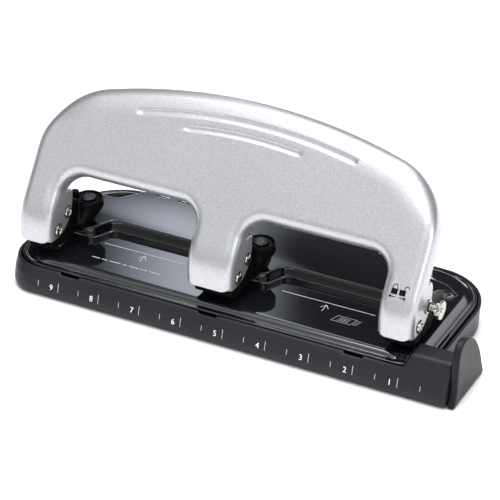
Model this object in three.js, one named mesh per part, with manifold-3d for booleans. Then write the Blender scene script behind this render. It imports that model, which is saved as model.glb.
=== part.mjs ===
// Three hole punch: a stamped steel handle with three legs rocks on three cast punch heads,
// which stand on a stamped base plate. A moulded chip tray carries the plate and the ruler.
//
// Millimetres, +Z up, +X right, +Y back. Pieces are drawn with the middle hole at x = 0 and the
// front foot line of the tray at y = 0, and one group then moves the origin to the middle of
// the footprint.
import * as THREE from 'three';
import { mergeVertices } from 'three/addons/utils/BufferGeometryUtils.js';
import Module from 'manifold-3d';

const wasm = await Module();
wasm.setup();

// ---------------------------------------------------------------- driving dimensions
const HOLE_PITCH = 107.95;
const GAP = 0.3;

// Chip tray and ruler front
const TRAY_LEFT = 125.2;
const TRAY_RIGHT = 129;
const TRAY_DEPTH = 104.6;
const TRAY_BOTTOM = 0.8;
const TRAY_TOP = 16.3;
const TRAY_WALL = 1.8;
const TRAY_FRONT_RADIUS = 20;
const TRAY_REAR_RADIUS = 34;
const FOOT_RADIUS = 6;
const FOOT_HEIGHT = 1.5;

// Block at the right end of the ruler, and the sliding paper stop in it
const BLOCK_LEFT = 117;
const BLOCK_RIGHT = 140.9;
const BLOCK_BACK = 19;
const BLOCK_TOP = 23.8;
const STOP_LEFT = 141.2;
const STOP_RIGHT = 145.4;

// Base plate: rim, front panel and raised rear deck
const SHEET = 1.4;
const RIM_INSET = 2.6;
const RIM_TOP = 17.2;
const PANEL_TOP = 19;
const DECK_TOP = 25;
const PANEL_FRONT = 15;
const BACKSTOP_Y = 40;
const DECK_FRONT_Y = 53.5;
const HINGE_Y = 100.2;
const HINGE_Z = 15;
const HINGE_X = 70;
const HINGE_RADIUS = 2.2;

// Handle: upper face leans back, legs are upright
const HANDLE_SHEET = 1.4;
const HANDLE_LEAN = THREE.MathUtils.degToRad(54.2);
const LEG_FRONT_Y = 6;
const LEG_BOTTOM_Z = 30;
const LEG_BEND_Z = 36;
const LEG_BEND_RADIUS = 30;
const HANDLE_TOP = 131;
const CORNER_RADIUS = 42;
const CROWN_RADIUS = 335;
const WINDOW_TOP = 70;
const WINDOW_RADIUS = 12;
const FLANGE_DEPTH = 12;
const EDGE_RADIUS = 6;

// Linkage: fulcrum, drive pin and punch
const FULCRUM = { y: 16.5, z: 34.8 };
const DRIVE = { y: 27.1, z: 41.0 };
const PUNCH_Y = 27.9;
const PIVOT_RADIUS = 2.5;
const DRIVE_RADIUS = 2;
const PUNCH_RADIUS = 3.5;
const PUNCH_TIP = 22.4;
const PUNCH_HEAD_RADIUS = 5.2;
const PUNCH_HEAD_BOTTOM = 37.6;
const PUNCH_HEAD_TOP = 47.2;
const JAW_BOTTOM = 22;
const JAW_TOP = 24.6;
const BORE_WALL = 5.9;
const SPRING_WIRE = 0.38;
const SPRING_RADIUS = 4.5;
const SPRING_TURNS = 3.5;
const POST = { x: 10.4, y: 49.5, radius: 8.2, top: 39.5 };

// Each head: its place, and half the width of the handle leg over it
const HEADS = [
  { name: 'left', x: -HOLE_PITCH, legHalf: 10.3, inward: 1, post: true },
  { name: 'middle', x: 0, legHalf: 13.8, inward: 0, post: true },
  { name: 'right', x: HOLE_PITCH, legHalf: 10.3, inward: -1, post: false },
];
const MIDDLE_LEG = HEADS[1].legHalf;
const HANDLE_HALF_WIDTH = HOLE_PITCH + HEADS[2].legHalf;
const WINDOW_OUTER = HOLE_PITCH - HEADS[2].legHalf;
const LOCK_AXIS_X = HEADS[2].x + HEADS[2].legHalf;
const LOCK_BUSH_RADIUS = 3.4;

// ---------------------------------------------------------------- finishes
const finish = (color, roughness, metalness) => ({ color, roughness, metalness });
const SILVER_PAINT = finish(0xc5c5ca, 0.42, 0.55);
const BLACK_GLOSS = finish(0x14161a, 0.12, 0.3);
const BLACK_CAST = finish(0x0d0d0f, 0.4, 0.2);
const TRAY_PLASTIC = finish(0x424146, 0.55, 0);
const STOP_PLASTIC = finish(0x4b4a50, 0.55, 0);
const RUBBER = finish(0x1b1b1c, 0.9, 0);
const NICKEL = finish(0xb9b6ae, 0.22, 1);
const TOOL_STEEL = finish(0x8f9296, 0.28, 1);
const SPRING_STEEL = finish(0xa5a7aa, 0.3, 1);

// ---------------------------------------------------------------- solids
function toSolid(geometry) {
  const bare = geometry.clone();
  bare.deleteAttribute('normal');
  bare.deleteAttribute('uv');
  const merged = mergeVertices(bare, 1e-4);
  return new wasm.Manifold(new wasm.Mesh({
    numProp: 3,
    vertProperties: new Float32Array(merged.attributes.position.array),
    triVerts: new Uint32Array(merged.index.array),
  }));
}

function toGeometry(solid) {
  const mesh = solid.getMesh();
  const geometry = new THREE.BufferGeometry();
  geometry.setAttribute('position', new THREE.BufferAttribute(mesh.vertProperties, 3));
  geometry.setIndex(new THREE.BufferAttribute(mesh.triVerts, 1));
  geometry.computeVertexNormals();
  return geometry;
}

const join = (first, ...others) => others.reduce((sum, solid) => sum.add(solid), first);
const cut = (first, ...others) => others.reduce((rest, solid) => rest.subtract(solid), first);

// A shape drawn in the plane of axes u and v, swept along u x v from start to end.
function sweep(shape, u, v, start, end, options = {}) {
  const w = new THREE.Vector3().crossVectors(u, v);
  const geometry = new THREE.ExtrudeGeometry(shape, {
    depth: end - start, bevelEnabled: false, curveSegments: 10, ...options,
  });
  const frame = new THREE.Matrix4().makeBasis(u, v, w);
  geometry.translate(0, 0, start);
  geometry.applyMatrix4(frame);
  return toSolid(geometry);
}

const AXIS_X = new THREE.Vector3(1, 0, 0);
const AXIS_Y = new THREE.Vector3(0, 1, 0);
const AXIS_Z = new THREE.Vector3(0, 0, 1);
const sweepX = (shape, x0, x1, options) => sweep(shape, AXIS_Y, AXIS_Z, x0, x1, options);
const sweepZ = (shape, z0, z1, options) => sweep(shape, AXIS_X, AXIS_Y, z0, z1, options);

const polygon = (points) => new THREE.Shape(points.map(([a, b]) => new THREE.Vector2(a, b)));

function circle(a, b, radius) {
  const shape = new THREE.Shape();
  shape.absarc(a, b, radius, 0, Math.PI * 2);
  return shape;
}

function block(x0, x1, y0, y1, z0, z1) {
  return sweepZ(polygon([[x0, y0], [x1, y0], [x1, y1], [x0, y1]]), z0, z1);
}

const rodX = (y, z, radius, x0, x1, curveSegments = 9) => (
  sweepX(circle(y, z, radius), x0, x1, { curveSegments })
);
const rodZ = (x, y, radius, z0, z1, curveSegments = 9) => (
  sweepZ(circle(x, y, radius), z0, z1, { curveSegments })
);

// A turned piece: profile points are [radius, height], starting and ending on the axis.
function turned(profile, segments = 16) {
  const points = profile.map(([r, h]) => new THREE.Vector2(r, h));
  const geometry = new THREE.LatheGeometry(points, segments);
  geometry.rotateX(Math.PI / 2);
  return toSolid(geometry);
}

function turnedZ(x, y, profile, segments) {
  return turned(profile, segments).translate([x, y, 0]);
}

function turnedX(y, z, profile, segments) {
  return turned(profile, segments).rotate([0, 90, 0]).translate([0, y, z]);
}

// Outline shared by the tray and the plate: the tray's length, drawn in by an inset, with two
// front corners and two larger rear corners.
function footprint(inset, front, back, frontRadius, rearRadius) {
  const left = -TRAY_LEFT + inset;
  const right = TRAY_RIGHT - inset;
  const quarter = Math.PI / 2;
  const shape = new THREE.Shape();
  shape.moveTo(left + frontRadius, front);
  shape.lineTo(right - frontRadius, front);
  shape.absarc(right - frontRadius, front + frontRadius, frontRadius, -quarter, 0);
  shape.lineTo(right, back - rearRadius);
  shape.absarc(right - rearRadius, back - rearRadius, rearRadius, 0, quarter);
  shape.lineTo(left + rearRadius, back);
  shape.absarc(left + rearRadius, back - rearRadius, rearRadius, quarter, 2 * quarter);
  shape.lineTo(left, front + frontRadius);
  shape.absarc(left + frontRadius, front + frontRadius, frontRadius, 2 * quarter, 3 * quarter);
  return shape;
}

// A skin through outlines of equal point count, closed by flat ends.
function loft(levels) {
  const rings = levels.map(({ z, shape }) => {
    const points = shape.getPoints(4);
    const distinct = points.filter((p, i) => p.distanceTo(points.at(i - 1)) > 1e-3);
    return distinct.map((p) => new THREE.Vector3(p.x, p.y, z));
  });
  const count = rings[0].length;
  const positions = rings.flat().flatMap((p) => [p.x, p.y, p.z]);
  const index = [];
  for (let level = 0; level < rings.length - 1; level += 1) {
    for (let i = 0; i < count; i += 1) {
      const a = level * count + i;
      const b = level * count + ((i + 1) % count);
      index.push(a, b, a + count, b, b + count, a + count);
    }
  }
  const last = (rings.length - 1) * count;
  const outline = rings[0].map((p) => new THREE.Vector2(p.x, p.y));
  for (const [a, b, c] of THREE.ShapeUtils.triangulateShape(outline, [])) {
    index.push(a, c, b, last + a, last + b, last + c);
  }
  const geometry = new THREE.BufferGeometry();
  geometry.setAttribute('position', new THREE.Float32BufferAttribute(positions, 3));
  geometry.setIndex(index);
  return toSolid(geometry);
}

function piece(name, solid, { color, roughness, metalness }) {
  const material = new THREE.MeshStandardMaterial({ color, roughness, metalness });
  const mesh = new THREE.Mesh(toGeometry(solid), material);
  mesh.name = name;
  return mesh;
}

// ---------------------------------------------------------------- chip tray
// Front face of the ruler as [y, z]: it bulges a little and leans back towards the top.
const FRONT_FACE = [[0.5, TRAY_BOTTOM], [-0.7, 3.5], [-1, 7], [0.2, 11.5], [3.4, TRAY_TOP]];

function trayLevel([y, z], inset) {
  return {
    z,
    shape: footprint(
      inset,
      y + inset,
      TRAY_DEPTH - inset,
      TRAY_FRONT_RADIUS - inset,
      TRAY_REAR_RADIUS - inset,
    ),
  };
}

function hingeEar(x, length) {
  const barrel = rodX(HINGE_Y, HINGE_Z, HINGE_RADIUS, x, x + length);
  const web = block(x, x + length, HINGE_Y, TRAY_DEPTH - 1, HINGE_Z - HINGE_RADIUS, HINGE_Z + 1);
  return join(barrel, web);
}

function chipTray() {
  const outer = loft(FRONT_FACE.map((point) => trayLevel(point, 0)));
  const floorTop = TRAY_BOTTOM + TRAY_WALL;
  const inside = FRONT_FACE.map(([y, z]) => [y, Math.max(z, floorTop)]);
  inside.push([FRONT_FACE[4][0], TRAY_TOP + 2]);
  const cavity = loft(inside.map((point) => trayLevel(point, TRAY_WALL)));

  const blockProfile = polygon([
    ...FRONT_FACE, [8.8, BLOCK_TOP], [BLOCK_BACK, BLOCK_TOP], [BLOCK_BACK, TRAY_BOTTOM],
  ]);
  const slantedEnd = polygon([
    [BLOCK_LEFT - 9, TRAY_TOP], [BLOCK_LEFT, TRAY_TOP], [BLOCK_LEFT + 1.5, BLOCK_TOP + 1],
    [BLOCK_LEFT - 9, BLOCK_TOP + 1],
  ]);
  const endBlock = cut(
    sweepX(blockProfile, BLOCK_LEFT - 2, BLOCK_RIGHT),
    sweep(slantedEnd, AXIS_X, AXIS_Z, -40, 10),
  );
  const wall = polygon([...FRONT_FACE, [5.2, TRAY_TOP], [5.2, TRAY_BOTTOM]]);
  const squaredCorner = sweepX(wall, TRAY_RIGHT - TRAY_FRONT_RADIUS - 2, BLOCK_LEFT);
  const socket = block(BLOCK_LEFT + 1.5, BLOCK_RIGHT + 2, 8, 17.6, 4.4, 15.4);

  const posts = [];
  for (const x of [-112, -54, 54, 100]) {
    for (const y of [12, 92]) {
      const postX = y > 50 ? x * 0.85 : x;
      posts.push(rodZ(postX, y, 3, TRAY_BOTTOM + 1, RIM_TOP - SHEET - 0.4, 5));
    }
  }

  const ears = [];
  const snapNotches = [];
  for (const side of [-1, 1]) {
    ears.push(hingeEar(side * HINGE_X - 9.5, 5), hingeEar(side * HINGE_X + 4.5, 5));
  }
  for (const x of [-84, 1.5, 87]) {
    snapNotches.push(block(x - 5.5, x + 5.5, 2.6, 6.4, TRAY_TOP - 1.2, TRAY_TOP + 1));
  }
  const pinHoles = [-1, 1].map((side) => (
    rodX(HINGE_Y, HINGE_Z, 1.5, side * HINGE_X - 11, side * HINGE_X + 11, 6)
  ));
  const footPockets = FEET.map(({ x, y }) => (
    rodZ(x, y, FOOT_RADIUS + GAP, TRAY_BOTTOM - 1, FOOT_HEIGHT + GAP)
  ));
  const shell = join(cut(outer, cavity), squaredCorner, endBlock, ...posts, ...ears);
  return cut(shell, socket, ...snapNotches, ...pinHoles, ...footPockets);
}

const FEET = [
  { name: 'front_left', x: -104, y: 18 },
  { name: 'front_right', x: 104, y: 18 },
  { name: 'rear_left', x: -96, y: 84 },
  { name: 'rear_right', x: 96, y: 84 },
];

function rubberFoot({ x, y }) {
  return turnedZ(x, y, [[0, 0], [FOOT_RADIUS - 0.6, 0], [FOOT_RADIUS, 0.5], [FOOT_RADIUS, FOOT_HEIGHT],
    [0, FOOT_HEIGHT]]);
}

// The stop is a D-shaped end plate on an arm that slides in the end block.
function paperStop() {
  const profile = new THREE.Shape();
  profile.moveTo(1.2, TRAY_BOTTOM);
  profile.lineTo(4.3, 8.9);
  profile.lineTo(5.2, 24);
  profile.bezierCurveTo(5.4, 33, 9.5, 36.2, 14, 36);
  profile.bezierCurveTo(24, 35, 33.5, 25, 38, 10.5);
  profile.lineTo(41.8, TRAY_BOTTOM);
  const plate = sweepX(profile, STOP_LEFT, STOP_RIGHT);
  const arm = block(BLOCK_LEFT + 4, STOP_LEFT + 1, 8.4, 17.2, 4.8, 15);
  return join(plate, arm);
}

// ---------------------------------------------------------------- base plate
// Front edge of the raised deck seen from above. It comes forward at each head, where the
// sheets stop against it, and stands back between the heads.
function deckOutline(shrink) {
  const stop = BACKSTOP_Y + shrink;
  const back = DECK_FRONT_Y + shrink;
  const left = HEADS[0].x;
  const right = HEADS[2].x;
  const narrow = 17 - shrink;
  const wide = 23.5 - shrink;
  const end = [[3, 56], [5, 67], [8.5 - shrink, 76], [6 - shrink, 84], [-6, 91 - shrink]];
  const rightEnd = end.map(([dx, y]) => [right + dx, y]);
  const leftEnd = end.map(([dx, y]) => [left - dx, y]).reverse();
  return polygon([
    [left - 1, stop], [left + narrow, stop], [left + wide, back],
    [-wide, back], [-narrow, stop], [narrow, stop], [wide, back],
    [right - wide, back], [right - narrow, stop], [right + 1, stop],
    ...rightEnd, [85, 95 - shrink], [-85, 95 - shrink], ...leftEnd,
  ]);
}

// The pressed form, drawn solid; the same form, smaller and lower, is taken out of it.
function pressedForm(shrink) {
  const rim = (z, inset, front, back) => ({
    z,
    shape: footprint(RIM_INSET + inset + shrink, front + shrink, back - shrink, 18 - shrink, 30 - shrink),
  });
  const drop = shrink;
  const plate = loft([rim(15.8 - (shrink ? 3 : 0), 0, 5.6, 101), rim(RIM_TOP - drop, 0, 5.6, 101)]);
  const panel = loft([
    rim(RIM_TOP - drop - 1, 1.4, 7.2, 99.6),
    rim(RIM_TOP - drop, 1.6, 7.4, 99.4),
    rim(PANEL_TOP - drop, 6, PANEL_FRONT, 95),
  ]);
  const deck = sweepZ(deckOutline(shrink), RIM_TOP - 2 - drop, DECK_TOP - drop);
  const slope = polygon([
    [66, DECK_TOP - drop], [99, 18 - drop], [110, DECK_TOP + 8], [66, DECK_TOP + 8],
  ]);
  const trimmedDeck = cut(deck, sweepX(slope, -140, 140));
  return join(plate, panel, trimmedDeck);
}

function basePlate() {
  let plate = cut(pressedForm(0), pressedForm(SHEET));
  for (const head of HEADS) {
    plate = cut(plate, rodZ(head.x, PUNCH_Y, DIE_RADIUS + GAP, 10, 30));
    for (const { x, y } of screwPlaces(head)) {
      plate = cut(plate, rodZ(x, y, 2.1, 18, 28, 6));
    }
  }
  for (const side of [-1, 1]) {
    const x = side * HINGE_X;
    const barrel = join(
      rodX(HINGE_Y, HINGE_Z, HINGE_RADIUS, x - 4, x + 4),
      block(x - 4, x + 4, HINGE_Y - 2, HINGE_Y + 0.5, HINGE_Z, RIM_TOP - 0.6),
    );
    plate = cut(plate, block(x - 10, x - 4, 96.5, 104, 10, 20), block(x + 4, x + 10, 96.5, 104, 10, 20));
    plate = cut(plate, rodX(HINGE_Y, HINGE_Z, HINGE_RADIUS + GAP, x - 3.9, x + 3.9));
    plate = cut(join(plate, barrel), rodX(HINGE_Y, HINGE_Z, 1.5, x - 11, x + 11, 6));
  }
  return cut(plate, block(BLOCK_LEFT - 2.3, 150, -2, BLOCK_BACK + GAP, 0, 40));
}

// ---------------------------------------------------------------- punch heads
const DIE_RADIUS = 6;

// Hardened die set into the panel under each punch.
function die(head) {
  const bottom = PANEL_TOP - SHEET - 0.8;
  const ring = [[0, bottom], [DIE_RADIUS, bottom], [DIE_RADIUS, PANEL_TOP], [0, PANEL_TOP]];
  const bore = rodZ(head.x, PUNCH_Y, PUNCH_RADIUS + GAP, 10, 30);
  return cut(turnedZ(head.x, PUNCH_Y, ring, 24), bore);
}

const screwPlaces = (head) => [46, 54.5].map((y) => ({ x: head.x + head.inward * 3.5, y }));

// Side of the casting as [y, z]: rounded nose round the fulcrum, open throat under the jaw,
// foot on the deck behind the throat.
function castingSide() {
  const shape = new THREE.Shape();
  shape.moveTo(39.7, JAW_BOTTOM);
  shape.lineTo(39.7, DECK_TOP + GAP);
  shape.lineTo(60, DECK_TOP + GAP);
  shape.lineTo(60, 28.3);
  shape.lineTo(55, 30);
  shape.lineTo(52.5, 37);
  shape.lineTo(42, 40.5);
  shape.lineTo(35.5, 45.5);
  shape.lineTo(24, 46.8);
  shape.lineTo(18.5, 39.7);
  shape.absarc(FULCRUM.y, FULCRUM.z, 5.2, 1.2, 3.5, false);
  shape.lineTo(14.6, JAW_BOTTOM);
  return shape;
}

// Slot along the drive pin's arc, so that the pin passes through both side walls.
function driveArc(margin) {
  const radius = Math.hypot(DRIVE.y - FULCRUM.y, DRIVE.z - FULCRUM.z);
  const high = Math.atan2(DRIVE.z - FULCRUM.z, DRIVE.y - FULCRUM.y);
  const low = high - THREE.MathUtils.degToRad(40);
  const half = DRIVE_RADIUS + margin;
  const around = (angle) => [
    FULCRUM.y + radius * Math.cos(angle), FULCRUM.z + radius * Math.sin(angle),
  ];
  const shape = new THREE.Shape();
  shape.absarc(FULCRUM.y, FULCRUM.z, radius + half, low, high, false);
  shape.absarc(...around(high), half, high, high + Math.PI, false);
  shape.absarc(FULCRUM.y, FULCRUM.z, radius - half, high, low, true);
  shape.absarc(...around(low), half, low + Math.PI, low + 2 * Math.PI, false);
  return shape;
}

function punchHead(head) {
  const wall = head.legHalf - HANDLE_SHEET - 0.6;
  const body = sweepX(castingSide(), head.x - wall, head.x + wall, { curveSegments: 8 });
  const well = block(head.x - BORE_WALL, head.x + BORE_WALL, 5, 35.5, JAW_TOP, 60);
  const cuts = [
    well,
    rodX(FULCRUM.y, FULCRUM.z, PIVOT_RADIUS + GAP, head.x - 20, head.x + 20),
    sweepX(driveArc(0.5), head.x - 20, head.x + 20, { curveSegments: 5 }),
    rodZ(head.x, PUNCH_Y, PUNCH_RADIUS + 0.25, 10, 30),
  ];
  let casting = cut(body, ...cuts);
  if (head.post) {
    casting = join(casting, stopPost(head));
    casting = cut(casting, rodZ(head.x + POST.x, POST.y, 4.6, POST.top - 1.4, POST.top + 2));
  }
  return cut(casting, ...screwPlaces(head).map(({ x, y }) => rodZ(x, y, 2, 20, 33.5, 6)));
}

// A round post beside the leg that the lowered handle comes down on.
function stopPost(head) {
  const ring = (x, y, radius, z) => ({ z, shape: circle(head.x + x, y, radius) });
  const post = loft([
    ring(8.4, 47.6, 6.4, DECK_TOP + GAP),
    ring(POST.x, POST.y, POST.radius, 33.5),
    ring(POST.x, POST.y, POST.radius, POST.top - 0.6),
    ring(POST.x, POST.y, POST.radius - 0.6, POST.top),
  ]);
  const stud = turnedZ(head.x + 3.4, 46.5, [[0, 37], [2.3, 37], [2.3, 42], [1.5, 43.2], [0, 43.4]], 10);
  return join(post, stud);
}

function stopButton(head) {
  const z = POST.top - 1.1;
  return turnedZ(head.x + POST.x, POST.y, [[0, z], [4.3, z], [4.3, z + 1.1], [3.9, z + 1.4], [0, z + 1.5]]);
}

function headScrew({ x, y }) {
  const under = DECK_TOP - SHEET - GAP;
  return turnedZ(x, y, [[0, under - 2.2], [2.9, under - 2.2], [3.5, under - 1.6], [3.5, under],
    [1.7, under], [1.7, 32.6], [0, 32.6]], 12);
}

function punchPin(head) {
  const rod = turnedZ(head.x, PUNCH_Y, [[0, PUNCH_TIP + 1], [PUNCH_RADIUS, PUNCH_TIP],
    [PUNCH_RADIUS, PUNCH_HEAD_BOTTOM], [PUNCH_HEAD_RADIUS, PUNCH_HEAD_BOTTOM],
    [PUNCH_HEAD_RADIUS, PUNCH_HEAD_TOP - 0.8], [PUNCH_HEAD_RADIUS - 0.8, PUNCH_HEAD_TOP],
    [0, PUNCH_HEAD_TOP]], 24);
  const slot = block(head.x - 8, head.x + 8, 24.8, 31.1, DRIVE.z - 2.3, DRIVE.z + 2.3);
  return cut(rod, slot);
}

function springWasher(head) {
  const top = PUNCH_HEAD_BOTTOM - GAP;
  const inner = PUNCH_RADIUS + GAP;
  const profile = [[inner, top - 0.8], [5.4, top - 0.8], [5.4, top], [inner, top], [inner, top - 0.8]];
  return turnedZ(head.x, PUNCH_Y, profile);
}

class Coil extends THREE.Curve {
  constructor(bottom, top) {
    super();
    this.bottom = bottom;
    this.top = top;
  }

  getPoint(t, target = new THREE.Vector3()) {
    const angle = t * SPRING_TURNS * Math.PI * 2;
    const z = THREE.MathUtils.lerp(this.bottom, this.top, t);
    return target.set(SPRING_RADIUS * Math.cos(angle), SPRING_RADIUS * Math.sin(angle), z);
  }
}

function returnSpring(head) {
  const bottom = JAW_TOP + 0.2 + SPRING_WIRE;
  const top = PUNCH_HEAD_BOTTOM - GAP - 0.8 - 0.2 - SPRING_WIRE;
  const section = new THREE.Shape();
  section.absarc(0, 0, SPRING_WIRE, 0, Math.PI * 2);
  const geometry = new THREE.ExtrudeGeometry(section, {
    steps: 42, bevelEnabled: false, curveSegments: 3, extrudePath: new Coil(bottom, top),
  });
  geometry.translate(head.x, PUNCH_Y, 0);
  return toSolid(geometry);
}

// A riveted pin across one leg: domed heads outside the cheeks.
function rivetedPin(radius, headRadius, from, to) {
  return [
    [0, from - 1.3], [headRadius * 0.65, from - 1.1], [headRadius, from - 0.2],
    [headRadius, from], [radius, from], [radius, to], [headRadius, to],
    [headRadius, to + 0.2], [headRadius * 0.65, to + 1.1], [0, to + 1.3],
  ];
}

function pivotPin(head) {
  const reach = head.legHalf + GAP;
  const profile = rivetedPin(PIVOT_RADIUS, 3.7, head.x - reach, head.x + reach);
  return turnedX(FULCRUM.y, FULCRUM.z, profile);
}

function drivePin(head) {
  const reach = head.legHalf + GAP;
  if (head.name !== 'right') {
    return turnedX(DRIVE.y, DRIVE.z, rivetedPin(DRIVE_RADIUS, 3.4, head.x - reach, head.x + reach));
  }
  // The lock pin takes the outer end of this axis, so the right drive pin is short.
  const profile = rivetedPin(DRIVE_RADIUS, 3.4, head.x - reach, head.x + reach).slice(0, 5);
  profile.push([DRIVE_RADIUS, head.x + 5.4], [0, head.x + 5.4]);
  return turnedX(DRIVE.y, DRIVE.z, profile);
}

// ---------------------------------------------------------------- handle lock
function lockBush() {
  const x = LOCK_AXIS_X;
  const profile = [[2.95, x - 1.7], [LOCK_BUSH_RADIUS, x - 1.7], [LOCK_BUSH_RADIUS, x + GAP],
    [4.5, x + GAP], [4.5, x + 0.9], [2.95, x + 0.9], [2.95, x - 1.7]];
  return turnedX(DRIVE.y, DRIVE.z, profile);
}

function lockPin() {
  const x = LOCK_AXIS_X;
  const profile = [[0, x - 1], [1.8, x - 1], [1.8, x + 1.4], [2.65, x + 1.7], [2.65, x + 5.8],
    [2.2, x + 6], [2.2, x + 6.6], [5.2, x + 6.8], [5.2, x + 7.9], [4.6, x + 8.3], [0, x + 8.3]];
  return turnedX(DRIVE.y, DRIVE.z, profile, 24);
}

// ---------------------------------------------------------------- handle
// Axes of the leaning upper face: along it, and into its back.
const FACE_UP = new THREE.Vector3(0, Math.cos(HANDLE_LEAN), Math.sin(HANDLE_LEAN));
const FACE_BACK = new THREE.Vector3(0, Math.sin(HANDLE_LEAN), -Math.cos(HANDLE_LEAN));
const BEND_TURN = Math.PI / 2 - HANDLE_LEAN;
const BEND_END = {
  y: LEG_FRONT_Y + LEG_BEND_RADIUS * (1 - Math.cos(BEND_TURN)),
  z: LEG_BEND_Z + LEG_BEND_RADIUS * Math.sin(BEND_TURN),
};
// The flat face lies just behind the end of the bend, so the two cross in a clean line.
const FACE_DEPTH = BEND_END.y * FACE_BACK.y + BEND_END.z * FACE_BACK.z + 0.08;

// Front view of the blank in the upper face's own plane, drawn a distance `inset` inside it.
function blankOutline(inset) {
  const w = HANDLE_HALF_WIDTH - inset;
  const corner = CORNER_RADIUS - inset;
  const cornerX = HANDLE_HALF_WIDTH - CORNER_RADIUS;
  const crownCentre = HANDLE_TOP - CROWN_RADIUS;
  const reach = CROWN_RADIUS - CORNER_RADIUS;
  const cornerV = crownCentre + Math.sqrt(reach ** 2 - cornerX ** 2);
  const turn = Math.atan2(cornerV - crownCentre, cornerX);
  const low = 15;
  const top = WINDOW_TOP + inset;
  const outer = WINDOW_OUTER + inset;
  const inner = MIDDLE_LEG - inset;
  const radius = WINDOW_RADIUS + inset;
  const shape = new THREE.Shape();
  shape.moveTo(w, low);
  shape.lineTo(w, cornerV);
  shape.absarc(cornerX, cornerV, corner, 0, turn, false);
  shape.absarc(0, crownCentre, CROWN_RADIUS - inset, turn, Math.PI - turn, false);
  shape.absarc(-cornerX, cornerV, corner, Math.PI - turn, Math.PI, false);
  shape.lineTo(-w, low);
  shape.lineTo(-outer, low);
  shape.absarc(-outer + radius, top - radius, radius, Math.PI, Math.PI / 2, true);
  shape.absarc(-inner - radius, top - radius, radius, Math.PI / 2, 0, true);
  shape.lineTo(-inner, low);
  shape.lineTo(inner, low);
  shape.absarc(inner + radius, top - radius, radius, Math.PI, Math.PI / 2, true);
  shape.absarc(outer - radius, top - radius, radius, Math.PI / 2, 0, true);
  shape.lineTo(outer, low);
  return shape;
}

function blank(inset) {
  const bevel = EDGE_RADIUS - inset;
  return sweep(blankOutline(inset), AXIS_X, FACE_UP, -FACE_DEPTH - 60, -FACE_DEPTH - EDGE_RADIUS, {
    bevelEnabled: true,
    bevelSegments: 3,
    bevelThickness: bevel,
    bevelSize: bevel,
    bevelOffset: -bevel,
    curveSegments: 4,
  });
}

// Side view as [y, z] of the space that the pressed handle fills: the bend of the legs in
// front, the flange edge behind, and the rounded cheeks below. Above the bend its front line
// runs clear of the blank's flat face, so the two never share a plane.
function sideRegion(inset, backDepth) {
  const along = (distance, depth) => [
    BEND_END.y + distance * FACE_UP.y + depth * FACE_BACK.y,
    BEND_END.z + distance * FACE_UP.z + depth * FACE_BACK.z,
  ];
  const shape = new THREE.Shape();
  const front = LEG_FRONT_Y + inset;
  shape.moveTo(...along(90, backDepth));
  shape.lineTo(...along(90, inset - 4));
  shape.lineTo(...along(0.9, inset - 0.05));
  shape.absarc(LEG_FRONT_Y + LEG_BEND_RADIUS, LEG_BEND_Z, LEG_BEND_RADIUS - inset,
    Math.PI - BEND_TURN, Math.PI, false);
  if (inset > 0) {
    shape.lineTo(front, LEG_BOTTOM_Z - 12);
    shape.lineTo(80, LEG_BOTTOM_Z - 12);
    return shape;
  }
  shape.lineTo(front, LEG_BOTTOM_Z + 3);
  shape.quadraticCurveTo(front, LEG_BOTTOM_Z, front + 3, LEG_BOTTOM_Z);
  shape.lineTo(18, LEG_BOTTOM_Z + 0.3);
  shape.bezierCurveTo(27, LEG_BOTTOM_Z + 2, 32.5, 40, 33, 48);
  shape.bezierCurveTo(33, 52, 31, 56, ...along(9, backDepth));
  return shape;
}

// Two pressed grooves that follow the crown.
function groove(halfWidth, v, depth) {
  const radius = CROWN_RADIUS - (HANDLE_TOP - v);
  const centre = HANDLE_TOP - CROWN_RADIUS;
  const swing = halfWidth / radius;
  const shape = new THREE.Shape();
  shape.absarc(0, centre, radius + 1.6, Math.PI / 2 - swing, Math.PI / 2 + swing, false);
  shape.absarc(0, centre, radius - 1.6, Math.PI / 2 + swing, Math.PI / 2 - swing, true);
  return sweep(shape, AXIS_X, FACE_UP, -FACE_DEPTH - depth, -FACE_DEPTH + 3, { curveSegments: 10 });
}

function handle() {
  const outer = blank(0).intersect(sweepX(sideRegion(0, FLANGE_DEPTH), -130, 130, { curveSegments: 5 }));
  const innerSide = sweepX(sideRegion(HANDLE_SHEET, 60), -130, 130, { curveSegments: 5 });
  const inner = blank(HANDLE_SHEET).intersect(innerSide);
  let shell = cut(outer, inner, groove(66, 117.5, 0.7), groove(35, 110.5, 0.7));
  for (const head of HEADS) {
    const left = head.x - head.legHalf - 3;
    const right = head.x + head.legHalf + 3;
    shell = cut(shell, rodX(FULCRUM.y, FULCRUM.z, PIVOT_RADIUS + GAP, left, right));
    shell = cut(shell, rodX(DRIVE.y, DRIVE.z, DRIVE_RADIUS + GAP, left, right));
  }
  shell = cut(shell, rodX(DRIVE.y, DRIVE.z, LOCK_BUSH_RADIUS + GAP, LOCK_AXIS_X - 4, LOCK_AXIS_X + 4));
  return shell;
}

function hingePin(side) {
  const x = side * HINGE_X;
  return rodX(HINGE_Y, HINGE_Z, 1.2, x - 9.3, x + 9.3, 6);
}

// ---------------------------------------------------------------- assembly
const assembly = new THREE.Group();

const trayGroup = new THREE.Group();
trayGroup.add(piece('chip_tray', chipTray(), TRAY_PLASTIC));
trayGroup.add(piece('paper_stop', paperStop(), STOP_PLASTIC));
trayGroup.add(piece('tray_hinge_pin_left', hingePin(-1), SPRING_STEEL));
trayGroup.add(piece('tray_hinge_pin_right', hingePin(1), SPRING_STEEL));
for (const foot of FEET) {
  trayGroup.add(piece(`rubber_foot_${foot.name}`, rubberFoot(foot), RUBBER));
}

const baseGroup = new THREE.Group();
baseGroup.add(piece('base_plate', basePlate(), BLACK_GLOSS));

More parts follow.
